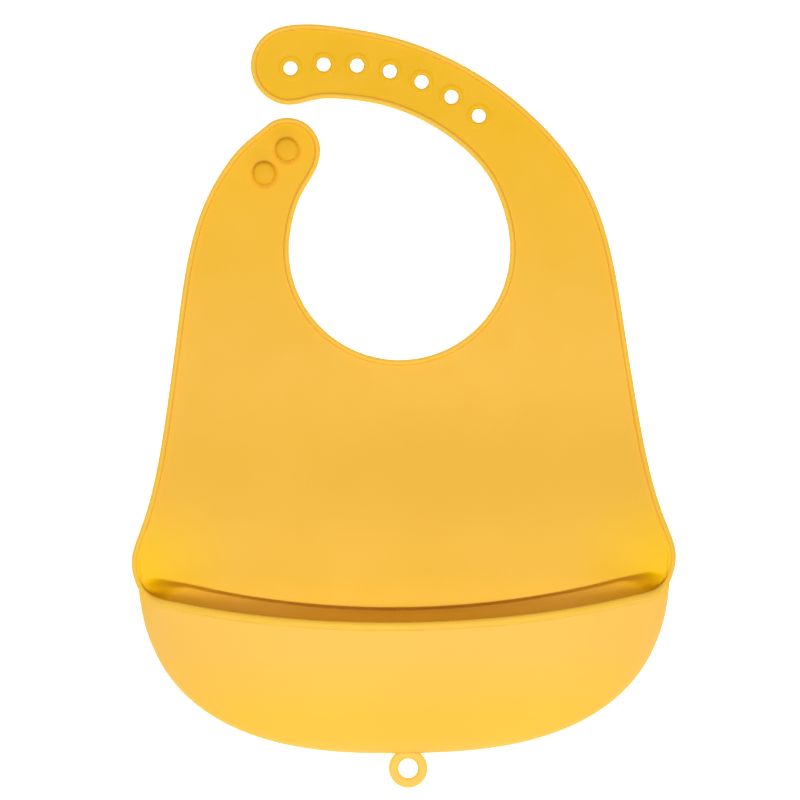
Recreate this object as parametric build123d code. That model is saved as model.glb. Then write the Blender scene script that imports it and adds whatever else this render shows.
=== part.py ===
from build123d import *
import math
import os

# A baby's silicone bib, lying on its back: the pocket is towards -Y, the neck straps are towards +Y
# and the front of the bib faces +Z. All lengths are in millimetres.

# ---- sheet ----
SHEET = 1.6  # wall of the moulding
BEAD_HEIGHT = 2.8  # rounded edge all round the sheet
BEAD_WIDTH = 2.4
OFFSET_SPACING = 12.0  # spacing of the points that carry an offset curve
OFFSET_STEPS = 4  # fewest steps along one such curve
BEAD_LOW_END = -65.0  # the bead of the side edge stops here and the rim of the pocket takes over
HINGE_GAP = 3.2  # clear strip on each bending line, so that the segments can turn
TALL = 100.0  # height of cutting bodies, more than any part
REACH = 260.0  # width of cutting regions, more than the bib

# ---- outline ----
CORNER = (112.4, -66.0)  # where the side edge meets the pocket rim
SIDE_LOW = [CORNER, (108.4, -50.0), (102.6, -30.0), (97.4, 0.0)]
SIDE_HIGH = [(93.0, 30.0), (88.2, 60.0), (82.5, 80.0)]
SIDE_START = (-0.12, 1.0)  # direction in which the side edge leaves the corner
TOP_CENTRE = (-39.9, 20.7)  # outer edge of the long strap
TOP_RADIUS = 137.5
TOP_START = 35.1
TOP_END = 92.0
STRAP_CENTRE = (-27.8, 45.7)  # the holes and the inner edge of the long strap share this centre
STRAP_INNER_RADIUS = 81.5
STRAP_INNER_START = 42.0
STRAP_INNER_END = 101.1
STRAP_TIP = (-60.8, 142.0)
NECK_CENTRE = (0.0, 64.5)
NECK_RADIUS = 45.7
NECK_RIGHT = 8.0
NECK_LEFT = 165.0
STUD_END_RADIUS = 13.8
STUD_END_ARC = 135.0
STUD_INNER_POINTS = [(-39.3, 89.8), (-33.6, 99.5)]
SHORT_OUTER_END = (-0.575, -0.818)  # direction of the short strap's outer edge where it meets the side

# ---- closure ----
HOLE_CIRCLE = 96.0
HOLE_FIRST = 99.8
HOLE_STEP = 8.27
HOLE_COUNT = 7
HOLE_RADIUS = 2.9
EYELETS_ON_TIP = 4  # the rest are on the middle of the strap
EYELET_RADIUS = 4.9
EYELET_RISE = 0.4
UPPER_STUD = (-45.9, 106.1)
LOWER_STUD = (-55.4, 96.5)
STUD_STEM_RADIUS = 2.7
STUD_STEM_HEIGHT = 3.2
STUD_HEAD_RADIUS = 4.6
STUD_HEAD_HEIGHT = 2.4
STUD_EDGE = 1.0

# ---- bending lines ----
FOLD_LOW = -50.0
FOLD_HIGH = -5.0
SHOULDER = 68.0
LONG_STRAP_START = -5.0  # angles round the long strap's centre
STRAP_FLEX_1 = 43.0
STRAP_FLEX_2 = 70.8
LONG_STRAP_END = 150.0
STRAP_LINE_LENGTH = 60.0
WEDGE_STEPS = 2
SHORT_STRAP_TOP = 122.3
SHORT_STRAP_RIGHT = -20.0

# ---- pocket ----
BOWL_CENTRE = -63.5
BOWL_HALF_WIDTH = 109.6
BOWL_DEPTH = 80.3
BOWL_POWER = 2.58
BOWL_INSET = 13.0  # how far the turn of the bowl reaches under the pocket
TURN_HEIGHT = 7.0  # height of the widest line of the bowl
BOWL_SLOPE_AIM = 0.4  # the wall's inward direction aims at this share of its distance from the middle
BOWL_AIM_ABOVE = 10.0  # and at this distance above the bowl's centre line
BOWL_END_SIZE = 0.25  # share of the bowl's inset and turn that is left at its ends
BOWL_SIZE_POWER = 0.8
BOWL_FULLNESS = 0.55  # pull of the curve where the wall turns up from the table
FLANK_RISE = 0.25  # pulls of the curve from the widest line up to the rim
FLANK_LEAN = 0.3
TURN_POINTS = 4  # points of one rib below and above the widest line
FLANK_POINTS = 5
RIM_HALF_WIDTH = 107.0
RIM_CENTRE = -89.7
RIM_RISE = 11.5  # how much nearer to the neck the ends of the rim are than its middle
RIM_HEIGHT = 36.0
RIM_END_HEIGHT = 13.0
RIM_FALL = 4.0  # the rim stays high along the mouth and falls off near its ends
RIM_SPREAD = 0.68  # how evenly the ribs of the bowl are spread along the rim
RIM_CORNER = [(109.2, -72.0, 12.4), (110.9, -65.2, 11.6)]  # the rim turns into the side edge here
RIM_CORNER_END = (0.1, 1.0, 0.0)  # direction of the edge where the side bead takes over
RIM_BEAD = 1.75
RIM_CLEAR = 0.1  # the wall stops this far short of the round bead, and a little more at its ends
RIM_END_CLEAR = 1.0
RIM_END_POWER = 6
RIB_STEP = 12  # degrees between the ribs of the bowl
BOWL_END = 84
BASE_STEP = 15  # the same for the edge of the sheet under the bowl
BASE_END = 75
PANEL_RISE = 10.0  # the lower panel stands this far above the floor of the pocket
MOUTH_GAP = 6.4  # from the rim's centre line to the edge where the panel drops into the pocket
MOUTH_WIDENS = 2.6  # extra gap near the ends of the mouth
MOUTH_WIDEN_AT = 86.0
MOUTH_HALF_WIDTH = 100.0
MOUTH_STEPS = 4  # steps along each half of the mouth
FRONT_HALF_WIDTH = 62.0
FRONT_LOW = 13.0  # the moving part of the front begins at this height
FRONT_GAP = 3.0
FRONT_ZONE_Y = -123.5  # middle and length of the box that holds the moving part
FRONT_ZONE_LENGTH = 200.0

# ---- hanging loop ----
LOOP_X = 0.6
LOOP_Y = -150.2
LOOP_RADIUS = 8.0
LOOP_HOLE = 4.0
LOOP_THICKNESS = 3.0
LOOP_Z = 6.0
LOOP_OVERLAP = 0.3  # depth to which the loop is joined into the wall
LOOP_BOX = 100.0  # size of the body that trims the loop's inner side


def polar(centre, radius, degrees):
    angle = math.radians(degrees)
    return (centre[0] + radius * math.cos(angle), centre[1] + radius * math.sin(angle))


def bowl_plan(degrees):
    """Outermost point of the pocket, seen from the front, at an angle from the middle of the bowl."""
    side = math.sin(math.radians(degrees))
    down = math.cos(math.radians(degrees))
    across = (abs(side) / BOWL_HALF_WIDTH) ** BOWL_POWER
    along = (abs(down) / BOWL_DEPTH) ** BOWL_POWER
    radius = (across + along) ** (-1 / BOWL_POWER)
    return Vector(radius * side, BOWL_CENTRE - radius * down, 0)


def rim_y(share):
    return RIM_CENTRE + RIM_RISE * share * share


def rim_point(degrees):
    """Point of the pocket's free edge that belongs to the same angle of the bowl."""
    side = math.sin(math.radians(degrees))
    share = side * (RIM_SPREAD + (1 - RIM_SPREAD) * side * side)
    z = RIM_END_HEIGHT + (RIM_HEIGHT - RIM_END_HEIGHT) * (1 - abs(share) ** RIM_FALL)
    return Vector(RIM_HALF_WIDTH * share, rim_y(share), z)


def bowl_rib(degrees):
    """Points of the wall's outer face, from under the pocket, round its turn and up to the rim."""
    outer = bowl_plan(degrees)
    rim = rim_point(degrees)
    aim = Vector(BOWL_SLOPE_AIM * outer.X, BOWL_CENTRE + BOWL_AIM_ABOVE, 0)
    inward = (aim - outer).normalized()
    size = BOWL_END_SIZE + (1 - BOWL_END_SIZE) * math.cos(math.radians(degrees)) ** BOWL_SIZE_POWER
    inset = BOWL_INSET * size
    widest = outer + Vector(0, 0, TURN_HEIGHT * size)
    clear = RIM_CLEAR + RIM_END_CLEAR * (rim.X / RIM_HALF_WIDTH) ** RIM_END_POWER
    edge = rim + (widest - rim).normalized() * (RIM_BEAD + clear)
    base = outer + inward * inset
    under = widest - Vector(0, 0, BOWL_FULLNESS * widest.Z)
    turn = Bezier(base, base - inward * (BOWL_FULLNESS * inset), under, widest)
    climb = edge - widest
    flank = Bezier(widest, widest + Vector(0, 0, FLANK_RISE * climb.Z), edge - climb * FLANK_LEAN, edge)
    low = [turn @ (step / TURN_POINTS) for step in range(TURN_POINTS)]
    high = [flank @ (step / FLANK_POINTS) for step in range(FLANK_POINTS + 1)]
    return low + high


def outline():
    """The whole sheet seen from the front, down to where the bowl begins."""
    top = CenterArc(TOP_CENTRE, TOP_RADIUS, TOP_START, TOP_END - TOP_START)
    top_tangent = top % 0
    side = Spline(*SIDE_LOW, *SIDE_HIGH, top @ 0, tangents=[SIDE_START, (top_tangent.X, top_tangent.Y)])
    inner_arc = STRAP_INNER_END - STRAP_INNER_START
    inner = CenterArc(STRAP_CENTRE, STRAP_INNER_RADIUS, STRAP_INNER_START, inner_arc)
    tip = ThreePointArc(top @ 1, STRAP_TIP, inner @ 1)
    neck = CenterArc(NECK_CENTRE, NECK_RADIUS, NECK_LEFT, 360 + NECK_RIGHT - NECK_LEFT)
    join = Spline(neck @ 1, inner @ 0, tangents=[neck % 1, inner % 0])
    stud_end = CenterArc(UPPER_STUD, STUD_END_RADIUS, 0, STUD_END_ARC)
    inner_points = reversed(STUD_INNER_POINTS)
    short_inner = Spline(stud_end @ 0, *inner_points, neck @ 0, tangents=[(0, -1), neck % 0])
    mirrored = side.mirror(Plane.YZ)
    short_outer = Spline(stud_end @ 1, mirrored @ 1, tangents=[stud_end % 1, SHORT_OUTER_END])
    base = Spline(*[bowl_base(angle) for angle in range(-BASE_END, BASE_END + 1, BASE_STEP)])
    left_corner = Line((-CORNER[0], CORNER[1]), base @ 0)
    right_corner = Line(base @ 1, CORNER)
    edges = [top, tip, inner, join, neck, short_inner, stud_end, short_outer, mirrored, left_corner, base]
    return make_face(edges + [right_corner, side])


def bowl_base(degrees):
    return bowl_rib(degrees)[0]


def above_mouth(lower):
    """Flat region on the neck's side of the mouth, with its edge moved down the bib by a distance."""
    points = []
    for step in range(-MOUTH_STEPS, MOUTH_STEPS + 1):
        x = MOUTH_HALF_WIDTH * step / MOUTH_STEPS
        widen = MOUTH_WIDENS * (x / MOUTH_WIDEN_AT) ** 2
        points.append((x, rim_y(x / RIM_HALF_WIDTH) + MOUTH_GAP + widen - lower))
    end = points[-1]
    edge = Spline(*points)
    frame = Polyline(end, (REACH, end[1]), (REACH, REACH), (-REACH, REACH), (-REACH, end[1]), points[0])
    return make_face([edge, *frame.edges()])


def raised(flat, height):
    """A flat region raised from the table to a height, as one group of solids."""
    solids = []
    for region in flat.faces():
        solids += extrude(region, amount=height, dir=(0, 0, 1)).solids()
    return Compound(children=solids) if len(solids) > 1 else solids[0]


def level_band(low, high, left=-REACH, right=REACH):
    """Flat region between two bending lines that run straight across the bib."""
    return Pos((left + right) / 2, (low + high) / 2) * Rectangle(right - left, high - low)


def strap_wedge(start, end):
    """Flat region between two bending lines that cross the long strap towards its centre."""
    turn = (end - start) / WEDGE_STEPS
    corners = [polar(STRAP_CENTRE, REACH, start + turn * step) for step in range(WEDGE_STEPS + 1)]
    return make_face(Polyline(STRAP_CENTRE, *corners, close=True))


def strap_line_cut(degrees):
    """The clear strip along one bending line of the long strap."""
    x, y = polar(STRAP_CENTRE, HOLE_CIRCLE, degrees)
    return Pos(x, y) * Rot(0, 0, degrees) * Rectangle(STRAP_LINE_LENGTH, HINGE_GAP)


def segments(flat):
    """The flat outline cut at its bending lines, as a dictionary of segment name to its share."""
    half = HINGE_GAP / 2
    short_zone = level_band(SHOULDER + half, SHORT_STRAP_TOP, right=SHORT_STRAP_RIGHT)
    long_zone = flat & level_band(SHOULDER + half, REACH)
    long_zone = long_zone - short_zone
    first = strap_line_cut(STRAP_FLEX_1)
    second = strap_line_cut(STRAP_FLEX_2)
    return {
        "lower_panel": flat & level_band(-REACH, FOLD_LOW - half),
        "middle_panel": flat & level_band(FOLD_LOW + half, FOLD_HIGH - half),
        "neck_yoke": flat & level_band(FOLD_HIGH + half, SHOULDER - half),
        "short_strap": flat & short_zone,
        "long_strap_base": (long_zone & strap_wedge(LONG_STRAP_START, STRAP_FLEX_1)) - first,
        "long_strap_middle": (long_zone & strap_wedge(STRAP_FLEX_1, STRAP_FLEX_2)) - first - second,
        "long_strap_tip": (long_zone & strap_wedge(STRAP_FLEX_2, LONG_STRAP_END)) - second,
    }


def strap_holes():
    angles = [HOLE_FIRST - index * HOLE_STEP for index in range(HOLE_COUNT)]
    return [polar(STRAP_CENTRE, HOLE_CIRCLE, angle) for angle in angles]


def plain_edge(edge):
    """An edge of an offset outline as a circle or an ordinary spline."""
    if edge.geom_type == GeomType.CIRCLE:
        return edge
    count = max(OFFSET_STEPS, round(edge.length / OFFSET_SPACING))
    points = [edge @ (step / count) for step in range(count + 1)]
    return Spline(*points, tangents=[edge % 0, edge % 1])


def stepped_panel(flat):
    """The lower panel: level above the mouth, then a short wall down to the pocket's floor."""
    level = Pos(0, 0, PANEL_RISE) * raised(flat & above_mouth(0), SHEET)
    step = raised(flat & (above_mouth(SHEET) - above_mouth(0)), PANEL_RISE + SHEET)
    floor = raised(flat - above_mouth(SHEET), SHEET)
    return level + step + floor


def tilted(shape):
    """The middle panel slopes up from the neck to the lower panel."""
    slope = math.degrees(math.asin(PANEL_RISE / (FOLD_HIGH - FOLD_LOW)))
    return Pos(0, FOLD_HIGH, 0) * Rot(-slope, 0, 0) * Pos(0, -FOLD_HIGH, 0) * shape


def sheet_and_beads():
    """The thin sheet inside, and the thicker rounded edge outside, each cut at the bending lines."""
    whole = outline()
    narrowed = offset(whole, -BEAD_WIDTH)
    inside = make_face([plain_edge(edge) for edge in narrowed.face().outer_wire().edges()])
    free_edge = (whole - inside) & level_band(BEAD_LOW_END, REACH)
    sheet = whole - free_edge
    for place in strap_holes():
        sheet -= Pos(*place) * Circle(HOLE_RADIUS)
    pieces = segments(sheet)
    thin = {name: raised(flat, SHEET) for name, flat in pieces.items() if name != "lower_panel"}
    thin["lower_panel"] = stepped_panel(pieces["lower_panel"])
    thin["middle_panel"] = tilted(thin["middle_panel"])
    thick = {name: raised(flat, BEAD_HEIGHT) for name, flat in segments(free_edge).items()}
    thick["lower_panel"] = Pos(0, 0, PANEL_RISE) * thick["lower_panel"]
    thick["middle_panel"] = tilted(thick["middle_panel"])
    return thin, thick


def eyelets(first, last):
    """Shallow moulded rings round the holes, counted from the tip of the long strap."""
    rings = []
    for place in strap_holes()[first - 1 : last]:
        ring = Cylinder(EYELET_RADIUS, EYELET_RISE) - Cylinder(HOLE_RADIUS, TALL)
        rings.append(Pos(*place, SHEET + EYELET_RISE / 2) * ring)
    return rings


def stud(place):
    """Mushroom stud: a stem that fills a strap hole and a wider head with a bevelled edge."""
    profile = Polyline(
        (0, SHEET),
        (STUD_STEM_RADIUS, SHEET),
        (STUD_STEM_RADIUS, SHEET + STUD_STEM_HEIGHT),
        (STUD_HEAD_RADIUS, SHEET + STUD_STEM_HEIGHT),
        (STUD_HEAD_RADIUS, SHEET + STUD_STEM_HEIGHT + STUD_HEAD_HEIGHT - STUD_EDGE),
        (STUD_HEAD_RADIUS - STUD_EDGE, SHEET + STUD_STEM_HEIGHT + STUD_HEAD_HEIGHT),
        (0, SHEET + STUD_STEM_HEIGHT + STUD_HEAD_HEIGHT),
        close=True,
    )
    turned = revolve(Plane.XZ * make_face(profile), Axis.Z)
    return Pos(*place, 0) * turned


def bowl_shell():
    """The wall of the pocket, before it is cut into its fixed and its moving part."""
    ribs = [bowl_rib(angle) for angle in range(-BOWL_END, BOWL_END + 1, RIB_STEP)]
    skin = Face.make_surface_from_array_of_points(ribs)
    return Solid.thicken(skin, -SHEET)


def round_bar(line):
    section = Plane(origin=line @ 0, z_dir=line % 0) * Circle(RIM_BEAD)
    return sweep(section, path=line)


def rim_bar():
    """The thick rounded edge of the pocket, which turns into the side edges at both corners."""
    middle = Spline(*[rim_point(angle) for angle in range(-BOWL_END, BOWL_END + 1, RIB_STEP)])
    corner = round_bar(Spline(middle @ 1, *RIM_CORNER, tangents=[middle % 1, RIM_CORNER_END]))
    return round_bar(middle) + corner + corner.mirror(Plane.YZ)


def pocket():
    """Fixed bowl and cheeks, moving front wall, and the rim bead on each."""
    shell = bowl_shell()
    bar = rim_bar()
    above = TALL / 2
    under = Pos(0, 0, -above) * Box(2 * REACH, 2 * REACH, TALL)
    width = 2 * FRONT_HALF_WIDTH
    zone = Pos(0, FRONT_ZONE_Y, FRONT_LOW + FRONT_GAP / 2 + above) * Box(width, FRONT_ZONE_LENGTH, TALL)
    width += 2 * HINGE_GAP
    clear = Pos(0, FRONT_ZONE_Y, FRONT_LOW - FRONT_GAP / 2 + above) * Box(width, FRONT_ZONE_LENGTH, TALL)
    return {
        "pocket_bowl": shell - clear - under,
        "pocket_front_wall": shell & zone,
        "pocket_cheek_rims": bar - clear,
        "pocket_front_rim": bar & zone,
    }


def hanging_loop(shell):
    ring = Cylinder(LOOP_RADIUS, LOOP_THICKNESS) - Cylinder(LOOP_HOLE, TALL)
    ring = Pos(LOOP_X, LOOP_Y, LOOP_Z) * ring
    trim = BOWL_CENTRE - BOWL_DEPTH + LOOP_OVERLAP
    inside = Pos(0, trim + LOOP_BOX / 2, 0) * Box(LOOP_BOX, LOOP_BOX, TALL)
    return ring - inside - shell


def write(name, shape):
    solids = shape.solids()
    group = Compound(children=list(solids)) if len(solids) > 1 else solids[0]
    export_step(group, f"parts/{name}.step")


def main():
    os.makedirs("parts", exist_ok=True)
    sheets, beads = sheet_and_beads()
    walls = pocket()
    shapes = dict(sheets)
    shapes["lower_panel"] = sheets["lower_panel"] - walls["pocket_bowl"] - walls["pocket_cheek_rims"]
    for name, bead in beads.items():
        shapes[f"{name}_bead"] = bead - walls["pocket_bowl"] - walls["pocket_cheek_rims"]
    shapes.update(walls)
    shapes["hanging_loop"] = hanging_loop(walls["pocket_bowl"])
    shapes["upper_stud"] = stud(UPPER_STUD)
    shapes["lower_stud"] = stud(LOWER_STUD)
    shapes["eyelets_tip"] = Compound(children=eyelets(1, EYELETS_ON_TIP))
    shapes["eyelets_middle"] = Compound(children=eyelets(EYELETS_ON_TIP + 1, HOLE_COUNT))
    for name, shape in shapes.items():
        write(name, shape)


main()
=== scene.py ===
"""A baby's silicone bib lying on its back, seen from straight above. Lengths are in millimetres unless
a comment says metres. Meshes are made in metres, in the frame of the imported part."""
import math

import bpy
import numpy as np
from mathutils import Matrix, Vector
from mathutils.geometry import delaunay_2d_cdt


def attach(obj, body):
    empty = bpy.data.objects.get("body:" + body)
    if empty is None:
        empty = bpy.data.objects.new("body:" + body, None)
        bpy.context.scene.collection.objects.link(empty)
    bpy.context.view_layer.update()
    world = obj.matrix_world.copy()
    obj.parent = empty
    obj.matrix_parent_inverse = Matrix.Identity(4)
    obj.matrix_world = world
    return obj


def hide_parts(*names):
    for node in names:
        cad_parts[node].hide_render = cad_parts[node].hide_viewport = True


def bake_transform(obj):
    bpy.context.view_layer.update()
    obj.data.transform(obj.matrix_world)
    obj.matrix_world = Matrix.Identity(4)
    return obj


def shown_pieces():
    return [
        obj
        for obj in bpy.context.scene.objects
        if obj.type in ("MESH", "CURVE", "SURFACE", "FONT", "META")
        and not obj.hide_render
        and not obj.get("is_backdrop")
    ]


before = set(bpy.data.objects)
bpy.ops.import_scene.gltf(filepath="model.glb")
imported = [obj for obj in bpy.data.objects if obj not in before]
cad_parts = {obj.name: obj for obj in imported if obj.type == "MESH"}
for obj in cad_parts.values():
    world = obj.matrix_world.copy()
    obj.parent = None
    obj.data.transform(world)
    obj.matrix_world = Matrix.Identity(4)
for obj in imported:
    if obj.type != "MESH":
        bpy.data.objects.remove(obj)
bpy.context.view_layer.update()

MM = 0.001

# ---- sheet and edge ----
SHEET = 1.6
HALF_SHEET = SHEET / 2
BEAD_RADIUS = 1.3
BEAD_Z = 1.4
RIM_RADIUS = 1.75
EDGE_SPACING = 1.6
BEAD_SIDES = 14
BEAD_HALF_WIDTH = 1.2
BEAD_HALF_HEIGHT = 1.4
THICKEN_HEIGHT = 12.5  # the rim thickens from this height, over the next distance
THICKEN_RUN = 5.0
RIM_SAMPLES = 61  # points along the rim that the edge passes through
SIDE_POINTS = [(108.4, -50.0), (102.6, -30.0), (97.4, 0.0), (93.0, 30.0), (88.2, 60.0), (82.5, 80.0)]
TOP_CENTRE = (-39.9, 20.7)
TOP_RADIUS = 137.5
STRAP_CENTRE = (-27.8, 45.7)
STRAP_INNER_RADIUS = 81.5
STRAP_TIP_CENTRE = (-44.2, 141.4)
STRAP_TIP_RADIUS = 16.5
NECK_CENTRE = (0.0, 64.5)
NECK_RADIUS = 45.7
NECK_JOIN = [(38.6, 94.5), (42.3, 87.0), (44.95, 79.15)]  # from the strap's inner edge to the neck's
STUD_END_RADIUS = 13.8
STUD_INNER_POINTS = [(-33.6, 99.5), (-39.3, 89.8)]
STUD_OUTER_POINTS = [(-64.4, 107.0), (-70.9, 99.1)]
# Arcs: start and end in degrees, and the step where it isn't the usual one.
TOP_ARC = (36, 92)
TIP_ARC = (110, 262, 24)
STRAP_INNER_ARC = (94, 43)
NECK_ARC = (6, -192)
STUD_END_ARC = (0, 135, 18)

# ---- points of the sheet ----
GRID = 3.0
GRID_HALF_WIDTH = 120.0
GRID_LOW = -150.0
GRID_HIGH = 162.0
EDGE_CLEAR = 1.1  # grid points keep this far from the outline
HOLE_CLEAR = 7.2  # and this far from the strap holes' centres
EDGE_INSET = 0.5  # the sheet ends this far inside the edge's centre line
OPEN_SHARE = 0.97  # a strap hole is open within this share of its radius
POCKET_SIDE_TOP = -66.3  # below this line the thick edge belongs to the pocket and not to the sheet
POCKET_TOP = -60.0  # and below this one too, within the next distance of the middle
POCKET_HALF_WIDTH = 105.0
CREASE_HALF_WIDTH = 104.0
CREASE_SPACING = 1.6
CREASE_CLEAR = 10.0
# How far below the panel's lower edge each row of points lies.
CREASE_ROWS = [-8, -5.6, -3.6, -2.1, -1.1, -0.4, 0, 0.3, 0.6, 0.9, 1.2, 1.5, 1.8, 2.2, 2.6, 3.3, 4.5, 6.5]

# ---- closure ----
HOLE_CIRCLE = 96.0
HOLE_FIRST = 99.8
HOLE_STEP = 8.27
HOLE_COUNT = 7
HOLE_RADIUS = 2.9
EYELET = [(2.9, -0.3), (3.15, 0.1), (3.5, 0.32), (4.4, 0.32), (4.8, 0.16), (5.1, 0.0), (5.8, 0.0)]
HOLE_SIDES = 44
UPPER_STUD = (-45.9, 106.1)
LOWER_STUD = (-55.4, 96.5)

# ---- pocket ----
BOWL_CENTRE = -63.5
BOWL_HALF_WIDTH = 109.6
BOWL_DEPTH = 80.3
BOWL_POWER = 2.58
BOWL_INSET = 13.0
TURN_HEIGHT = 7.0  # height at which the wall is widest
TURN_SHARE = 0.5  # or this share of the wall's height, where that is less
BOWL_END = 91.0
RIBS = 150
RIB_POINTS = 26
SLOPE_AIM = 0.4  # the wall's inward direction aims at this share of its distance from the middle
AIM_ABOVE = 10.0  # and this far up the bib from the bowl's centre
END_SIZE = 0.2  # share of the bowl's inset and turn that is left at its ends
SIZE_POWER = 0.8
FULLNESS = 0.55  # pull of the curve where the wall turns up from the table
FLANK_RISE = 0.25  # pulls of the curve from the widest line up to the rim
FLANK_LEAN = 0.3
RIM_HALF_WIDTH = 107.0
RIM_CENTRE = -89.7
RIM_RISE = 11.5
RIM_HEIGHT = 36.0
RIM_END_HEIGHT = 13.0
RIM_FALL = 4.0
RIM_SPREAD = 0.68
RIM_STEPS = (0, 14, 28, 42, 54, 66, 75)
RIM_CORNER = [  # angle round the bowl, then x, y, z where the rim turns into the side edge
    (80.5, 104.3, -77.9, 14.8),
    (84.5, 107.4, -75.2, 13.2),
    (88.0, 109.5, -71.0, 12.2),
    (91.0, 110.9, -65.2, 11.6),
]
CORNER_LIFT = 0.8
CREASE_GAP = 6.4  # from the rim's centre line to the edge where the panel drops into the pocket
CREASE_WIDENS = 2.6  # extra gap near the ends of the mouth
CREASE_WIDEN_AT = 86.0
CREASE_LIMIT = 100.0
CREASE_HEIGHT = 10.0
RAMP_START = -5.0  # the panel slopes up between these, then runs level to the edge of the pocket
RAMP_END = -50.0
RAMP_SOFT = 16.0
DROP = 1.9  # width over which the panel turns down into the pocket
DROP_WIDENS = 7.0  # and what is added to it at the corners
DROP_POWER = 1.5  # shape of the drop
CORNER_START = 88.0  # distance from the middle at which the corners begin
CORNER_RUN = 22.0  # the corners curl up over this distance
CORNER_TOP = -48.0  # and below this line, over the distance after it
CORNER_FALL = 18.0
DROP_RUN = 18.0  # the drop widens over this distance from where the corners begin
KEPT_START = 97.0  # the sheet keeps height from here outward, over the next distance
KEPT_RUN = 11.0
CORNER_KEPT = 0.7  # share of its height that the sheet keeps under the very corners

# ---- bending lines, where the pieces are cut, and how wide each bend is ----
FOLD_LOW = -50.0
FOLD_HIGH = -5.0
SHOULDER = 68.0
STRAP_FLEX_1 = 43.0
STRAP_FLEX_2 = 70.8
CUT_POCKET = -63.0
CUT_MIDDLE = -27.5
CUT_YOKE = 31.5
CUT_BASE = 25.0
CUT_STRAP = 57.0
SHORT_STRAP_REACH = 82.0  # the short strap lies within this distance of the long strap's centre
SHORT_STRAP_TOP = 121.5
PANEL_BEND = 11.0
STRAP_BEND = 9.0
HINGE_Z = 0.0014  # metres, as the next two

# ---- hanging loop ----
LOOP_CENTRE = (0.6, -150.2, 6.0)
LOOP_MIDDLE = 6.0  # radius of the loop's centre line
LOOP_HALF_WIDTH = 2.0
LOOP_HALF_HEIGHT = 1.5
LOOP_ROUND = 0.75  # below 1 the loop's section is squarer than an ellipse
LOOP_SECTION = 20
LOOP_SIDES = 64

# ---- floor and camera, in metres ----
FLOOR_SIZE = 30.0
FLOOR_GAP = 0.0001
FLOOR_GLOW = 0.65
CAMERA_PLACE = (-0.00064, 0.0021, 1.5)
CAMERA_TURN = -0.8  # degrees
VIEW_WIDTH = 0.332  # width of the table that fills the picture
SENSOR = 36  # millimetres


def ease(value):
    """Smooth step from 0 to 1."""
    t = np.clip(value, 0.0, 1.0)
    return t * t * (3 - 2 * t)


def arc(centre, radius, start, end, step=9.0):
    count = max(2, int(round(abs(end - start) / step)))
    angles = np.radians(np.linspace(start, end, count + 1))
    return [(centre[0] + radius * math.cos(a), centre[1] + radius * math.sin(a)) for a in angles]


def spline(knots, values, at, periodic=False):
    """Cubic spline through values at knots, with continuous curvature."""
    knots, values = np.asarray(knots, float), np.asarray(values, float)
    n = len(knots)
    gaps = np.diff(knots)
    system = np.zeros((n, n))
    right = np.zeros((n,) + values.shape[1:])
    slopes = np.diff(values, axis=0) / gaps.reshape((-1,) + (1,) * (values.ndim - 1))
    for i in range(1, n - 1):
        system[i, i - 1 : i + 2] = gaps[i - 1], 2 * (gaps[i - 1] + gaps[i]), gaps[i]
        right[i] = 6 * (slopes[i] - slopes[i - 1])
    if periodic:
        system[0, 0] = 1
        system[0, -1] = -1
        system[-1, 0], system[-1, 1] = 2 * gaps[0], gaps[0]
        system[-1, -1], system[-1, -2] = 2 * gaps[-1], gaps[-1]
        right[-1] = 6 * (slopes[0] - slopes[-1])
    else:
        system[0, 0] = system[-1, -1] = 1
    bend = np.linalg.solve(system, right.reshape(n, -1)).reshape(right.shape)
    at = np.asarray(at, float)
    i = np.clip(np.searchsorted(knots, at, side="right") - 1, 0, n - 2)
    shape = (-1,) + (1,) * (values.ndim - 1)
    h = gaps[i].reshape(shape)
    a = (knots[i + 1] - at).reshape(shape) / h
    b = (at - knots[i]).reshape(shape) / h
    curve = ((a**3 - a) * bend[i] + (b**3 - b) * bend[i + 1]) * h * h / 6
    return a * values[i] + b * values[i + 1] + curve


def even_curve(points, spacing, periodic):
    """Points at even spacing along the smooth curve through the given points."""
    points = np.asarray(points, float)
    if periodic:
        points = np.vstack([points, points[:1]])
    knots = np.concatenate([[0], np.cumsum(np.linalg.norm(np.diff(points, axis=0), axis=1))])
    fine = spline(knots, points, np.linspace(0, knots[-1], 12 * len(points)), periodic)
    length = np.concatenate([[0], np.cumsum(np.linalg.norm(np.diff(fine, axis=0), axis=1))])
    count = int(round(length[-1] / spacing))
    at = np.linspace(0, length[-1], count + 1)
    return np.stack([np.interp(at, length, fine[:, k]) for k in range(fine.shape[1])], axis=1)


# ---- heights ----


def rim_at(angle):
    """Centre line of the pocket's rim, for angles round the bowl of either sign."""
    table = []
    for degrees in RIM_STEPS:
        side = math.sin(math.radians(degrees))
        share = side * (RIM_SPREAD + (1 - RIM_SPREAD) * side * side)
        y = RIM_CENTRE + RIM_RISE * share * share
        z = RIM_END_HEIGHT + (RIM_HEIGHT - RIM_END_HEIGHT) * (1 - share**RIM_FALL)
        table.append((degrees, RIM_HALF_WIDTH * share, y, z))
    table = np.array(table + RIM_CORNER)
    mirror = table[1:][::-1] * np.array([-1, -1, 1, 1])
    table = np.vstack([mirror, table])
    return spline(table[:, 0], table[:, 1:], np.atleast_1d(angle))


RIM_FINE = rim_at(np.linspace(-BOWL_END, BOWL_END, 400))


def crease_y(x):
    """The panel's lower edge, where it turns down into the pocket, runs parallel to the rim."""
    x = np.clip(x, -CREASE_LIMIT, CREASE_LIMIT)
    edge = np.interp(x, RIM_FINE[:, 0], RIM_FINE[:, 1]) + CREASE_GAP
    return edge + CREASE_WIDENS * (x / CREASE_WIDEN_AT) ** 2


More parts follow.
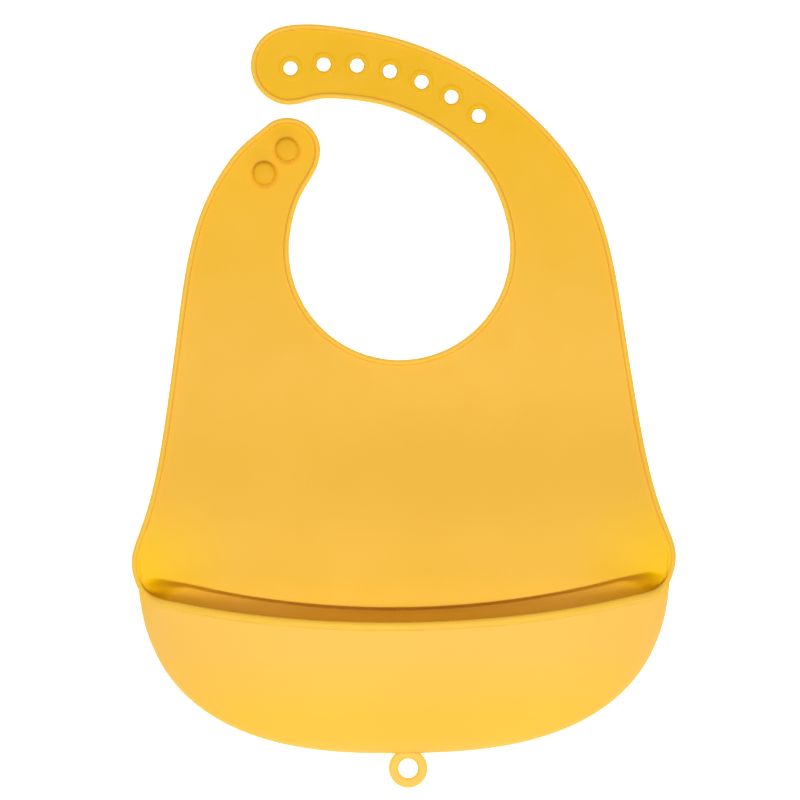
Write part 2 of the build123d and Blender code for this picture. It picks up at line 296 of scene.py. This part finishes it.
def soft_corner(run):
    """Zero up to a bending line and an even rise after it, with the bend rounded."""
    part = np.clip((run + RAMP_SOFT) / (2 * RAMP_SOFT), 0, 1)
    return np.where(run > RAMP_SOFT, run, RAMP_SOFT * part * part)


def ramp(y):
    """Height of the panel, which slopes up from the neck and runs level above the pocket."""
    slope = CREASE_HEIGHT / (RAMP_START - RAMP_END)
    return slope * (soft_corner(RAMP_START - y) - soft_corner(RAMP_END - y))


def lift(x, y):
    """How far the sheet stands above the table. It slopes up to the pocket, drops into it and curls up
    at the corners."""
    x, y = np.asarray(x, float), np.asarray(y, float)
    side = ease((np.abs(x) - CORNER_START) / CORNER_RUN)
    corner = CORNER_LIFT * side * ease((CORNER_TOP - y) / CORNER_FALL)
    width = DROP + DROP_WIDENS * ease((np.abs(x) - CORNER_START) / DROP_RUN)
    depth = 1 - CORNER_KEPT * ease((np.abs(x) - KEPT_START) / KEPT_RUN)
    beyond = np.clip((crease_y(x) - y) / width, 0, 1)
    fall = depth * beyond**DROP_POWER * (1 + DROP_POWER - DROP_POWER * beyond)
    return (corner + ramp(np.maximum(y, crease_y(x)))) * (1 - fall)


# ---- the free edge ----


def edge_line():
    """Closed centre line of the thick edge: the rim, then up the right side, round the long strap, the neck
    and the short strap, and down the left side. Rows are x, y, z at even spacing."""
    inset = BEAD_RADIUS
    rim = rim_at(np.linspace(-BOWL_END, BOWL_END, RIM_SAMPLES))
    right = [(x - inset, y) for x, y in SIDE_POINTS]
    top = arc(TOP_CENTRE, TOP_RADIUS - inset, *TOP_ARC)
    tip = arc(STRAP_TIP_CENTRE, STRAP_TIP_RADIUS - inset, *TIP_ARC)
    inner = arc(STRAP_CENTRE, STRAP_INNER_RADIUS + inset, *STRAP_INNER_ARC) + NECK_JOIN
    neck = arc(NECK_CENTRE, NECK_RADIUS + inset, *NECK_ARC)
    short_inner = [(x - inset, y) for x, y in STUD_INNER_POINTS[::-1]]
    stud_end = arc(UPPER_STUD, STUD_END_RADIUS - inset, *STUD_END_ARC)
    left = [(-(x - inset), y) for x, y in SIDE_POINTS[::-1]]
    free = np.array(right + top + tip + inner + neck + short_inner + stud_end + STUD_OUTER_POINTS + left)
    free = np.column_stack([free, BEAD_Z + lift(free[:, 0], free[:, 1])])
    return even_curve(np.vstack([rim, free]), EDGE_SPACING, True)[:-1]


EDGE = edge_line()


# ---- the pocket's wall ----


def bowl_plan(angle):
    """Outline of the bowl seen from above, for an angle measured from straight down."""
    side, down = np.sin(angle), np.cos(angle)
    across = (np.abs(side) / BOWL_HALF_WIDTH) ** BOWL_POWER
    along = (np.abs(down) / BOWL_DEPTH) ** BOWL_POWER
    reach = (across + along) ** (-1 / BOWL_POWER)
    return np.column_stack([reach * side, BOWL_CENTRE - reach * down])


def bezier(points, t):
    a, b, c, d = points
    t = t.reshape(1, -1, 1)
    a, b, c, d = (p[:, None, :] for p in (a, b, c, d))
    return (1 - t) ** 3 * a + 3 * (1 - t) ** 2 * t * b + 3 * (1 - t) * t * t * c + t**3 * d


def wall_ribs():
    """Middle surface of the pocket's wall: for each rib, points from its foot to the rim's centre line."""
    degrees = np.linspace(-BOWL_END, BOWL_END, RIBS)
    angle = np.radians(degrees)
    outer = bowl_plan(angle)
    middle = np.column_stack([SLOPE_AIM * outer[:, 0], np.full(RIBS, BOWL_CENTRE + AIM_ABOVE)])
    inward = middle - outer
    inward /= np.linalg.norm(inward, axis=1)[:, None]
    size = END_SIZE + (1 - END_SIZE) * np.clip(np.cos(angle), 0, 1) ** SIZE_POWER
    rim = rim_at(degrees)
    foot_xy = outer + inward * (BOWL_INSET * size)[:, None]
    foot = np.column_stack([foot_xy, HALF_SHEET + lift(foot_xy[:, 0], foot_xy[:, 1])])
    gain = rim[:, 2] - foot[:, 2]
    turn_z = foot[:, 2] + np.minimum(TURN_HEIGHT * size, TURN_SHARE * gain)
    wide = np.column_stack([outer + inward * HALF_SHEET, turn_z])
    flat = np.column_stack([inward, np.zeros(RIBS)])
    up = np.array([[0.0, 0.0, 1.0]])
    reach = (FULLNESS * BOWL_INSET * size)[:, None]
    drop = (FULLNESS * (turn_z - foot[:, 2]))[:, None]
    turn = [foot, foot - flat * reach, wide - up * drop, wide]
    climb = rim - wide
    rise = (FLANK_RISE * climb[:, 2])[:, None]
    flank = [wide, wide + up * rise, rim - climb * FLANK_LEAN, rim]
    low = bezier(turn, np.linspace(0, 1, RIB_POINTS // 2)[:-1])
    high = bezier(flank, np.linspace(0, 1, RIB_POINTS // 2 + 1))
    return np.concatenate([low, high], axis=1)


RIB_GRID = wall_ribs()
FOOT_LINE = RIB_GRID[:, 0, :]


# ---- the sheet ----


def hole_centres():
    spots = []
    for number in range(HOLE_COUNT):
        angle = math.radians(HOLE_FIRST - number * HOLE_STEP)
        x = STRAP_CENTRE[0] + HOLE_CIRCLE * math.cos(angle)
        spots.append((x, STRAP_CENTRE[1] + HOLE_CIRCLE * math.sin(angle)))
    return np.array(spots)


HOLES = hole_centres()


def ring(centre, radius, sides=HOLE_SIDES):
    turn = np.linspace(0, 2 * math.pi, sides, endpoint=False)
    return np.column_stack([centre[0] + radius * np.cos(turn), centre[1] + radius * np.sin(turn)])


def nearest(points, targets):
    """Distance from each point to the nearest target."""
    best = np.full(len(points), 1e9)
    for first in range(0, len(targets), 200):
        gap = points[:, None, :] - targets[None, first : first + 200, :]
        best = np.minimum(best, np.sqrt((gap**2).sum(2)).min(1))
    return best


def inside(points, loop):
    """Which points lie inside the closed loop."""
    x, y = points[:, 0][:, None], points[:, 1][:, None]
    x1, y1 = loop[:, 0][None], loop[:, 1][None]
    x2, y2 = np.roll(loop[:, 0], -1)[None], np.roll(loop[:, 1], -1)[None]
    crosses = (y1 > y) != (y2 > y)
    with np.errstate(divide="ignore", invalid="ignore"):
        at = (x2 - x1) * (y - y1) / (y2 - y1) + x1
    return (crosses & (x < at)).sum(1) % 2 == 1


def sheet_outline():
    """The sheet's boundary seen from above: the free edge, then the foot of the pocket's wall."""
    tangent = np.roll(EDGE, -1, axis=0) - np.roll(EDGE, 1, axis=0)
    inward = np.column_stack([-tangent[:, 1], tangent[:, 0]])
    inward /= np.linalg.norm(inward, axis=1)[:, None]
    inner = EDGE[:, :2] + EDGE_INSET * inward
    low_side = (EDGE[:, 1] < POCKET_TOP) & (np.abs(EDGE[:, 0]) < POCKET_HALF_WIDTH)
    low_side |= EDGE[:, 1] < POCKET_SIDE_TOP
    free = inner[~low_side]
    start = np.argmax(np.linalg.norm(np.diff(np.vstack([free, free[:1]]), axis=0), axis=1)) + 1
    free = np.roll(free, -start, axis=0)
    return np.vstack([free, FOOT_LINE[:, :2]])


def crease_rows():
    """Rows of points along the panel's lower edge, close together where it turns down."""
    x = np.arange(-CREASE_HALF_WIDTH, CREASE_HALF_WIDTH + 0.1, CREASE_SPACING)
    return np.vstack([np.column_stack([x, crease_y(x) - row]) for row in CREASE_ROWS])


def sheet_mesh():
    """Plan points and triangles of the sheet, with a closed hole for each strap hole."""
    outline = sheet_outline()
    step = np.array([GRID, GRID * math.sqrt(0.75)])
    columns = np.arange(-GRID_HALF_WIDTH, GRID_HALF_WIDTH, step[0])
    rows = np.arange(GRID_LOW, GRID_HIGH, step[1])
    grid = np.array([(x + (k % 2) * GRID / 2, y) for k, y in enumerate(rows) for x in columns])
    creased = crease_rows()
    far = np.abs(grid[:, 1] - crease_y(grid[:, 0])) > CREASE_CLEAR
    far |= np.abs(grid[:, 0]) > CREASE_HALF_WIDTH
    free = np.vstack([grid[far], creased])
    free = free[inside(free, outline)]
    free = free[nearest(free, outline) > EDGE_CLEAR]
    free = free[nearest(free, HOLES) > HOLE_CLEAR]
    rings = [ring(centre, radius) for centre in HOLES for radius, _ in EYELET]
    loops = [outline] + rings[:: len(EYELET)]
    others = [r for k, r in enumerate(rings) if k % len(EYELET)]
    points = np.vstack(loops + others + [free])
    edges, first = [], 0
    for loop in loops:
        n = len(loop)
        edges += [(first + i, first + (i + 1) % n) for i in range(n)]
        first += n
    result = delaunay_2d_cdt([Vector(p) for p in points], edges, [], 2, 1e-6)
    flat = np.array([tuple(v) for v in result[0]])
    faces = np.array([tuple(f) for f in result[2]])
    a, b, c = (flat[faces[:, k]] for k in range(3))
    solid = nearest((a + b + c) / 3, HOLES) > OPEN_SHARE * HOLE_RADIUS
    faces, a, b, c = faces[solid], a[solid], b[solid], c[solid]
    ab, ac = b - a, c - a
    area = ab[:, 0] * ac[:, 1] - ab[:, 1] * ac[:, 0]
    faces[area < 0] = faces[area < 0][:, ::-1]
    return flat, faces


def eyelet_rise(points):
    """Height of the raised ring round each strap hole, above the sheet's own top."""
    gap = nearest(points, HOLES)
    radii, heights = np.array(EYELET).T
    return np.interp(gap, radii, heights)


def closed_sheet():
    """Vertices and triangles of the sheet with its top, underside and sides."""
    flat, faces = sheet_mesh()
    low = lift(flat[:, 0], flat[:, 1])
    top = np.column_stack([flat, low + SHEET + eyelet_rise(flat)])
    back = np.column_stack([flat, low])
    n = len(flat)
    pairs = {}
    for f in faces:
        for k in range(3):
            pairs[f[k], f[(k + 1) % 3]] = True
    sides = [pair for pair in pairs if pair[::-1] not in pairs]
    bands = [(b, a, a + n) for a, b in sides] + [(b, a + n, b + n) for a, b in sides]
    vertices = np.vstack([top, back])
    triangles = np.vstack([faces, faces[:, ::-1] + n, np.array(bands)])
    return vertices, triangles


# ---- meshes ----


def corner_normals(vertices, faces, smooth):
    """Normals at face corners: smooth ones where the face is marked smooth, flat ones elsewhere."""
    a, b, c = (vertices[faces[:, k]] for k in range(3))
    flat = np.cross(b - a, c - a)
    total = np.zeros_like(vertices)
    for k in range(3):
        np.add.at(total, faces[smooth, k], flat[smooth])
    total /= np.maximum(np.linalg.norm(total, axis=1), 1e-12)[:, None]
    flat /= np.maximum(np.linalg.norm(flat, axis=1), 1e-12)[:, None]
    corners = total[faces]
    corners[~smooth] = flat[~smooth][:, None, :]
    return corners


def make_object(name, vertices, faces, material, corners=None):
    """A smooth-shaded mesh from millimetre vertices. Normals at the face corners may be given."""
    mesh = bpy.data.meshes.new(name)
    rows = [tuple(row) for row in np.asarray(vertices, float) * MM]
    mesh.from_pydata(rows, [], [tuple(int(i) for i in f) for f in faces])
    mesh.update()
    mesh.shade_smooth()
    if corners is not None:
        mesh.normals_split_custom_set([tuple(n) for n in corners.reshape(-1, 3)])
    obj = bpy.data.objects.new(name, mesh)
    bpy.context.scene.collection.objects.link(obj)
    mesh.materials.append(material)
    return obj


def part_of(vertices, faces, wanted):
    """The wanted faces of a mesh, with only the vertices that they use."""
    kept = faces[wanted]
    used, places = np.unique(kept.ravel(), return_inverse=True)
    return vertices[used], places.reshape(kept.shape)


def triangulate(quads):
    quads = np.asarray(quads)
    return np.vstack([quads[:, [0, 1, 2]], quads[:, [0, 2, 3]]])


def tube():
    """The bead along the whole edge, fatter along the pocket's rim."""
    tangent = np.roll(EDGE, -1, axis=0) - np.roll(EDGE, 1, axis=0)
    tangent /= np.linalg.norm(tangent, axis=1)[:, None]
    outward = np.cross(tangent, [0.0, 0.0, 1.0])
    outward /= np.linalg.norm(outward, axis=1)[:, None]
    upward = np.cross(outward, tangent)
    rim_share = ease((EDGE[:, 2] - THICKEN_HEIGHT) / THICKEN_RUN) * (EDGE[:, 1] < POCKET_TOP)
    half_width = (BEAD_HALF_WIDTH + (RIM_RADIUS - BEAD_HALF_WIDTH) * rim_share)[:, None, None]
    half_height = (BEAD_HALF_HEIGHT + (RIM_RADIUS - BEAD_HALF_HEIGHT) * rim_share)[:, None, None]
    turn = np.linspace(0, 2 * math.pi, BEAD_SIDES, endpoint=False)
    n = len(EDGE)
    across = outward[:, None, :] * np.cos(turn)[None, :, None]
    along = upward[:, None, :] * np.sin(turn)[None, :, None]
    vertices = EDGE[:, None, :] + across * half_width + along * half_height
    normals = across / half_width + along / half_height
    normals /= np.linalg.norm(normals, axis=2)[:, :, None]
    quads = []
    for i in range(n):
        for j in range(BEAD_SIDES):
            here, there = i * BEAD_SIDES, ((i + 1) % n) * BEAD_SIDES
            k = (j + 1) % BEAD_SIDES
            quads.append((here + j, there + j, there + k, here + k))
    faces = triangulate(quads)
    return vertices.reshape(-1, 3), faces, normals.reshape(-1, 3)[faces]


def wall_mesh():
    """The pocket's wall, closed all round."""
    along = np.gradient(RIB_GRID, axis=0)
    up = np.gradient(RIB_GRID, axis=1)
    normals = np.cross(up, along)
    normals /= np.linalg.norm(normals, axis=2)[:, :, None]
    outer = RIB_GRID + normals * HALF_SHEET
    inner = RIB_GRID - normals * HALF_SHEET
    ribs, points = RIB_GRID.shape[:2]
    total = ribs * points
    quads = []
    for i in range(ribs - 1):
        for j in range(points - 1):
            a = i * points + j
            b, c, d = a + points, a + points + 1, a + 1
            quads.append((a, d, c, b))
            quads.append((total + a, total + b, total + c, total + d))
    smooth = len(quads)
    for i in range(ribs - 1):
        a, b = i * points, (i + 1) * points
        quads.append((a, b, total + b, total + a))
        a, b = a + points - 1, b + points - 1
        quads.append((b, a, total + a, total + b))
    for j in range(points - 1):
        a, b = j, j + 1
        quads.append((b, a, total + a, total + b))
        a, b = (ribs - 1) * points + j, (ribs - 1) * points + j + 1
        quads.append((a, b, total + b, total + a))
    vertices = np.vstack([outer.reshape(-1, 3), inner.reshape(-1, 3)])
    faces = triangulate(quads)
    is_smooth = np.tile(np.arange(len(quads)) < smooth, 2)
    return vertices, faces, corner_normals(vertices, faces, is_smooth)


def lathe(profile, centre, sides=48):
    """A turned shape about the vertical through centre, from (radius, height) points, closed on the axis."""
    turn = np.linspace(0, 2 * math.pi, sides, endpoint=False)
    x, y, low = centre
    vertices = [(x + r * math.cos(a), y + r * math.sin(a), low + z) for r, z in profile for a in turn]
    faces = []
    for k in range(len(profile) - 1):
        for i in range(sides):
            j = (i + 1) % sides
            faces.append((k * sides + i, k * sides + j, (k + 1) * sides + j, (k + 1) * sides + i))
    faces.append(tuple(range((len(profile) - 1) * sides, len(profile) * sides)))
    return np.array(vertices), faces


# ---- materials ----


class Nodes:
    """A small helper to add nodes to a material and join them."""

    def __init__(self, name):
        self.material = bpy.data.materials.new(name)
        self.material.use_nodes = True
        self.tree = self.material.node_tree
        self.shader = self.tree.nodes["Principled BSDF"]
        self.position = self.add("ShaderNodeTexCoord").outputs["Object"]

    def add(self, kind, **inputs):
        node = self.tree.nodes.new(kind)
        for name, value in inputs.items():
            node.inputs[name.replace("_", " ")].default_value = value
        return node

    def join(self, output, socket):
        self.tree.links.new(output, socket)

    def noise(self, scale, detail=2.0, roughness=0.5):
        node = self.add("ShaderNodeTexNoise", Scale=scale, Detail=detail, Roughness=roughness)
        self.join(self.position, node.inputs["Vector"])
        return node.outputs["Fac"]

    def spread(self, output, low, high, start=0.35, end=0.65):
        node = self.add("ShaderNodeMapRange")
        node.inputs["From Min"].default_value = start
        node.inputs["From Max"].default_value = end
        node.inputs["To Min"].default_value = low
        node.inputs["To Max"].default_value = high
        self.join(output, node.inputs["Value"])
        return node.outputs["Result"]

    def mix(self, amount, first, second, blend="MIX"):
        node = self.tree.nodes.new("ShaderNodeMix")
        node.data_type = "RGBA"
        node.blend_type = blend
        for value, socket in ((amount, node.inputs[0]), (first, node.inputs[6]), (second, node.inputs[7])):
            if isinstance(value, bpy.types.NodeSocket):
                self.join(value, socket)
            else:
                socket.default_value = value
        return node.outputs[2]

    def maths(self, kind, *values):
        node = self.tree.nodes.new("ShaderNodeMath")
        node.operation = kind
        for value, socket in zip(values, node.inputs):
            self.join(value, socket)
        return node.outputs[0]

    def bump(self, height, distance, strength, before=None):
        node = self.add("ShaderNodeBump", Strength=strength, Distance=distance)
        self.join(height, node.inputs["Height"])
        if before is not None:
            self.join(before, node.inputs["Normal"])
        return node.outputs["Normal"]


def silicone(name, colour, roughness, grain, bands=(), corners=None):
    """Moulded matt silicone: a fine mould texture, faint flow marks and a soft sheen. The bands are painted
    light and shade, each (start, end, colour): from start to end, down the bib in metres, the colour changes
    to the band's own. The corners of the mouth may have a deeper colour of painted bounce light. Bump
    distances are in metres."""
    n = Nodes(name)
    place = n.add("ShaderNodeSeparateXYZ")
    n.join(n.position, place.inputs[0])
    tone = (*colour, 1)
    # Painted light and shade: each band blends the colour towards its own, down the bib.
    for start, end, band in bands:
        tone = n.mix(n.spread(place.outputs["Y"], 1.0, 0.0, end, start), tone, (*band, 1))
    # Painted bounce light: a deeper, more saturated colour in the corners of the mouth.
    if corners is not None:
        low = n.spread(place.outputs["Y"], 1.0, 0.0, *CORNER_BOUNCE_DEPTH)
        side = n.spread(n.maths("ABSOLUTE", place.outputs["X"]), 0.0, 1.0, *CORNER_BOUNCE_WIDTH)
        tone = n.mix(n.maths("MULTIPLY", low, side), tone, (*corners, 1))
    clouds = n.spread(n.noise(14.0, 3.0), 0.0, 1.0)
    n.join(n.mix(clouds, tone, CLOUD_TONE, "MULTIPLY"), n.shader.inputs["Base Color"])
    n.join(n.spread(n.noise(55.0, 3.0), roughness - 0.03, roughness + 0.05), n.shader.inputs["Roughness"])
    flow = n.bump(n.noise(26.0, 2.0), 0.0004, 0.06)
    mould = n.bump(n.noise(1500.0, 2.0, 0.6), 0.00006, grain, flow)
    n.join(mould, n.shader.inputs["Normal"])
    n.shader.inputs["IOR"].default_value = 1.42
    n.shader.inputs["Specular IOR Level"].default_value = 0.2
    n.shader.inputs["Sheen Weight"].default_value = 0.02
    n.shader.inputs["Sheen Roughness"].default_value = 0.5
    return n.material


CLOUD_TONE = (0.97, 0.97, 0.97, 1)
# Bands of painted light and shade: the distance up the bib where a colour starts and is reached, in metres,
# and the colour.
# Painted reflection: below the neck the panel turns paler and less saturated, standing in for a softbox's
# sheen on it.
PANEL_PAINTED_REFLECTION_BAND = (0.12, 0.02, (0.88, 0.49, 0.05))
# Painted bounce light: the panel just above the mouth is brighter, as if lit by light thrown back from the
# pocket.
MOUTH_PAINTED_BOUNCE_BAND = (-0.045, -0.078, (0.93, 0.55, 0.045))
# Painted shade: inside the pocket's mouth the sheet turns a deep, fully saturated tone, the colour of the
# shaded pocket lit only by light bounced inside it.
INSIDE_PAINTED_SHADE_BAND = (-0.084, -0.092, (0.93, 0.52, 0.003))
# The sheet's bands of painted light and shade.
SHEET_PAINTED_LIGHT_BANDS = (PANEL_PAINTED_REFLECTION_BAND, MOUTH_PAINTED_BOUNCE_BAND, INSIDE_PAINTED_SHADE_BAND)
# Painted highlights on the pocket's front: paler just under the rim and along the bottom, more saturated
# between them.
POCKET_PAINTED_HIGHLIGHT_BANDS = (
    (-0.074, -0.084, (0.95, 0.545, 0.095)),
    (-0.100, -0.128, (0.96, 0.55, 0.055)),
    (-0.136, -0.148, (0.96, 0.585, 0.10)),
)
# Painted bounce light: in the corners of the mouth the colour turns deeper and more saturated, as light
# bounced off the pocket's walls shows there.
CORNER_BOUNCE_DEPTH = (-0.070, -0.035)  # metres up the bib
CORNER_BOUNCE_WIDTH = (0.070, 0.102)  # metres out from the middle
CORNER_PAINTED_BOUNCE_COLOUR = (0.93, 0.545, 0.0)
SHEET_COLOUR = (0.86, 0.475, 0.008)
# Partly the silicone's own colour and partly painted light: lighter than the sheet's, as the pocket's front
# faces the lamps.
POCKET_COLOUR_WITH_PAINTED_LIGHT = (0.93, 0.54, 0.005)
# Partly the silicone's own colour and partly a painted highlight: the bead is lighter and paler than the
# sheet, as its round edge catches the light.
EDGE_COLOUR_WITH_PAINTED_HIGHLIGHT = (0.92, 0.535, 0.055)
STUD_COLOUR = (0.85, 0.43, 0.01)
# The sheet's material carries the painted light bands and the painted bounce light in the mouth's corners.
SHEET_LOOK = silicone("sheet_silicone", SHEET_COLOUR, 0.54, 0.25, SHEET_PAINTED_LIGHT_BANDS, CORNER_PAINTED_BOUNCE_COLOUR)
POCKET_LOOK = silicone("pocket_silicone", POCKET_COLOUR_WITH_PAINTED_LIGHT, 0.52, 0.25, POCKET_PAINTED_HIGHLIGHT_BANDS)
EDGE_LOOK = silicone("edge_silicone", EDGE_COLOUR_WITH_PAINTED_HIGHLIGHT, 0.50, 0.15)
STUD_LOOK = silicone("stud_silicone", STUD_COLOUR, 0.52, 0.2)


# ---- pieces ----


def strap_angle(points):
    return np.degrees(np.arctan2(points[:, 1] - STRAP_CENTRE[1], points[:, 0] - STRAP_CENTRE[0]))


def region(points):
    """Number of the piece that each point belongs to, from the pocket (0) up to the long strap's tip (6)."""
    y = points[:, 1]
    angle = strap_angle(points)
    where = np.zeros(len(points), int)
    where[y >= CUT_POCKET] = 1
    where[y >= CUT_MIDDLE] = 2
    strap = y >= CUT_YOKE
    from_centre = np.hypot(points[:, 0] - STRAP_CENTRE[0], y - STRAP_CENTRE[1])
    left = strap & (points[:, 0] < 0) & (from_centre < SHORT_STRAP_REACH) & (y < SHORT_STRAP_TOP)
    where[strap] = 4
    where[strap & (angle > CUT_BASE)] = 5
    where[strap & (angle > CUT_STRAP)] = 6
    where[left] = 3
    return where


def along_strap(angle, offset):
    """A point on the strap's middle circle, moved along its direction, in metres."""
    a = math.radians(angle)
    x = STRAP_CENTRE[0] + HOLE_CIRCLE * math.cos(a) - offset * math.sin(a)
    y = STRAP_CENTRE[1] + HOLE_CIRCLE * math.sin(a) + offset * math.cos(a)
    return (x * MM, y * MM, HINGE_Z)


def across_strap(angle):
    """Start and end of a bend across the long strap, in metres."""
    return along_strap(angle, -STRAP_BEND), along_strap(angle, STRAP_BEND)


def across_panel(y, half):
    """Start and end of a bend across the panel or a strap's root, in metres."""
    return (0, (y - half) * MM, 0), (0, (y + half) * MM, 0)


BENDS = {
    1: ("root", "middle_panel", *across_panel(FOLD_LOW, PANEL_BEND)),
    2: ("middle_panel", "neck_yoke", *across_panel(FOLD_HIGH, PANEL_BEND)),
    3: ("neck_yoke", "short_strap", *across_panel(SHOULDER, PANEL_BEND)),
    4: ("neck_yoke", "long_strap_base", *across_panel(SHOULDER, PANEL_BEND)),
    5: ("long_strap_base", "long_strap_middle", *across_strap(STRAP_FLEX_1)),
    6: ("long_strap_middle", "long_strap_tip", *across_strap(STRAP_FLEX_2)),
}
NAMES = [
    "lower_panel",
    "middle_panel",
    "neck_yoke",
    "short_strap",
    "long_strap_base",
    "long_strap_middle",
    "long_strap_tip",
]
# The thick edge's pieces by the same numbers. All but the rim, number 0, are named after a node that
# they stand for, and number 2 stands for one more.
EDGES = [
    "pocket_rim",
    "lower_panel_bead",
    "middle_panel_bead",
    "short_strap_bead",
    "long_strap_base_bead",
    "long_strap_middle_bead",
    "long_strap_tip_bead",
]
ALSO = {2: ["neck_yoke_bead"]}


def bend(obj, number):
    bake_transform(obj)


def place_sheet():
    vertices, faces = closed_sheet()
    top = len(vertices) // 2
    level = (faces < top).sum(1)
    corners = corner_normals(vertices, faces, (level == 0) | (level == 3))
    where = region(vertices[faces].mean(1))
    for number, name in enumerate(NAMES):
        wanted = where == number
        part, its_faces = part_of(vertices, faces, wanted)
        obj = make_object(name + "_skin", part, its_faces, SHEET_LOOK, corners[wanted])
        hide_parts(name)
        if number == 5:
            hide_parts("eyelets_middle")
        if number == 6:
            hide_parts("eyelets_tip")
        if number in BENDS:
            bend(obj, number)
        else:
            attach(obj, "root")


def place_edge():
    vertices, faces, corners = tube()
    where = region(vertices[faces].mean(1))
    for number, name in enumerate(EDGES):
        wanted = where == number
        part, its_faces = part_of(vertices, faces, wanted)
        obj = make_object(name + "_skin", part, its_faces, EDGE_LOOK, corners[wanted])
        if number == 0:
            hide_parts("pocket_front_rim", "pocket_cheek_rims")
            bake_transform(obj)
        else:
            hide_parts(EDGES[number], *ALSO.get(number, []))
            bend(obj, number)


def place_pocket():
    vertices, faces, corners = wall_mesh()
    obj = make_object("pocket_wall_skin", vertices, faces, POCKET_LOOK, corners)
    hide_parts("pocket_bowl", "pocket_front_wall")
    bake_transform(obj)


def place_studs():
    stem = [(6.0, 0.0), (4.4, 0.05), (3.4, 0.3), (2.9, 0.8), (2.7, 1.4), (2.7, 3.0), (3.0, 3.2)]
    head_side = [(4.3, 3.2), (4.6, 3.5), (4.6, 4.5), (4.35, 4.95)]
    head_top = [(3.75, 5.35), (3.4, 5.5), (1.8, 5.58), (0.4, 5.6)]
    for name, spot in (("upper_stud", UPPER_STUD), ("lower_stud", LOWER_STUD)):
        vertices, faces = lathe(stem + head_side + head_top, (*spot, SHEET))
        obj = make_object(name + "_skin", vertices, faces, STUD_LOOK)
        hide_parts(name)
        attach(obj, "short_strap")


def place_loop():
    section = []
    for k in range(LOOP_SECTION):
        a = 2 * math.pi * k / LOOP_SECTION
        c, s = math.cos(a), math.sin(a)
        r = LOOP_MIDDLE + LOOP_HALF_WIDTH * math.copysign(abs(c) ** LOOP_ROUND, c)
        section.append((r, LOOP_HALF_HEIGHT * math.copysign(abs(s) ** LOOP_ROUND, s)))
    x, y, low = LOOP_CENTRE
    vertices, faces = [], []
    for i in range(LOOP_SIDES):
        a = 2 * math.pi * i / LOOP_SIDES
        vertices += [(x + r * math.cos(a), y + r * math.sin(a), low + z) for r, z in section]
    count = len(section)
    for i in range(LOOP_SIDES):
        for j in range(count):
            here, there, k = i * count, ((i + 1) % LOOP_SIDES) * count, (j + 1) % count
            faces.append((here + j, there + j, there + k, here + k))
    obj = make_object("hanging_loop_skin", vertices, faces, POCKET_LOOK)
    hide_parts("hanging_loop")
    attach(obj, "root")


def floor_under(pieces):
    """Geometry nodes that hold the floor just under the lowest point of the bib, however it bends."""
    tree = bpy.data.node_groups.new("floor_under", "GeometryNodeTree")
    tree.interface.new_socket("Geometry", in_out="INPUT", socket_type="NodeSocketGeometry")
    tree.interface.new_socket("Geometry", in_out="OUTPUT", socket_type="NodeSocketGeometry")
    start = tree.nodes.new("NodeGroupInput")
    end = tree.nodes.new("NodeGroupOutput")
    join = tree.nodes.new("GeometryNodeJoinGeometry")
    for piece in pieces:
        info = tree.nodes.new("GeometryNodeObjectInfo")
        info.transform_space = "RELATIVE"
        info.inputs["Object"].default_value = piece
        tree.links.new(info.outputs["Geometry"], join.inputs[0])
    box = tree.nodes.new("GeometryNodeBoundBox")
    tree.links.new(join.outputs[0], box.inputs["Geometry"])
    lowest = tree.nodes.new("ShaderNodeSeparateXYZ")
    tree.links.new(box.outputs["Min"], lowest.inputs[0])
    level = tree.nodes.new("ShaderNodeCombineXYZ")
    tree.links.new(lowest.outputs["Z"], level.inputs["Z"])
    drop = tree.nodes.new("GeometryNodeTransform")
    tree.links.new(start.outputs[0], drop.inputs["Geometry"])
    tree.links.new(level.outputs[0], drop.inputs["Translation"])
    tree.links.new(drop.outputs[0], end.inputs[0])
    return tree


def place_floor():
    bpy.ops.mesh.primitive_plane_add(size=FLOOR_SIZE)
    floor = bpy.context.object
    floor.name = "floor"
    floor.data.transform(Matrix.Translation((0, 0, -FLOOR_GAP)))
    n = Nodes("floor_white")
    pale = n.mix(n.spread(n.noise(3.0), 0.0, 1.0), (0.9, 0.9, 0.9, 1), (0.92, 0.92, 0.92, 1))
    n.join(pale, n.shader.inputs["Base Color"])
    n.shader.inputs["Roughness"].default_value = 0.9
    n.shader.inputs["Emission Color"].default_value = (1, 1, 1, 1)
    n.shader.inputs["Emission Strength"].default_value = FLOOR_GLOW
    floor.data.materials.append(n.material)
    floor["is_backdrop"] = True
    floor.modifiers.new("under_the_bib", "NODES").node_group = floor_under(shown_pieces())


def area_light(name, place, aim, size, power):
    data = bpy.data.lights.new(name, "AREA")
    data.shape = "RECTANGLE"
    data.size, data.size_y = size
    data.energy = power
    obj = bpy.data.objects.new(name, data)
    obj.location = place
    obj.rotation_euler = (Vector(aim) - Vector(place)).to_track_quat("-Z", "Y").to_euler()
    bpy.context.scene.collection.objects.link(obj)


def place_lights():
    """Places and sizes are in metres, and powers in watts."""
    area_light("key", (0.1, -0.42, 2.2), (0, 0, 0), (0.45, 0.45), 24)
    area_light("fill", (-0.1, 0.35, 2.3), (0, 0, 0), (1.2, 1.2), 18)
    area_light("front_box", (0.25, -1.3, 1.0), (0, -0.1, 0), (1.4, 0.7), 4.5)
    world = bpy.data.worlds.new("soft_room")
    world.use_nodes = True
    background = world.node_tree.nodes["Background"]
    background.inputs["Color"].default_value = (1, 1, 1, 1)
    background.inputs["Strength"].default_value = 0.2
    bpy.context.scene.world = world


def place_camera():
    data = bpy.data.cameras.new("camera")
    data.sensor_width = SENSOR
    data.lens = SENSOR * CAMERA_PLACE[2] / VIEW_WIDTH
    camera = bpy.data.objects.new("camera", data)
    camera.location = CAMERA_PLACE
    camera.rotation_euler = (0, 0, math.radians(CAMERA_TURN))
    bpy.context.scene.collection.objects.link(camera)
    bpy.context.scene.camera = camera


place_sheet()
place_edge()
place_pocket()
place_studs()
place_loop()
place_floor()
place_lights()
place_camera()
bpy.context.scene.view_settings.view_transform = "Standard"
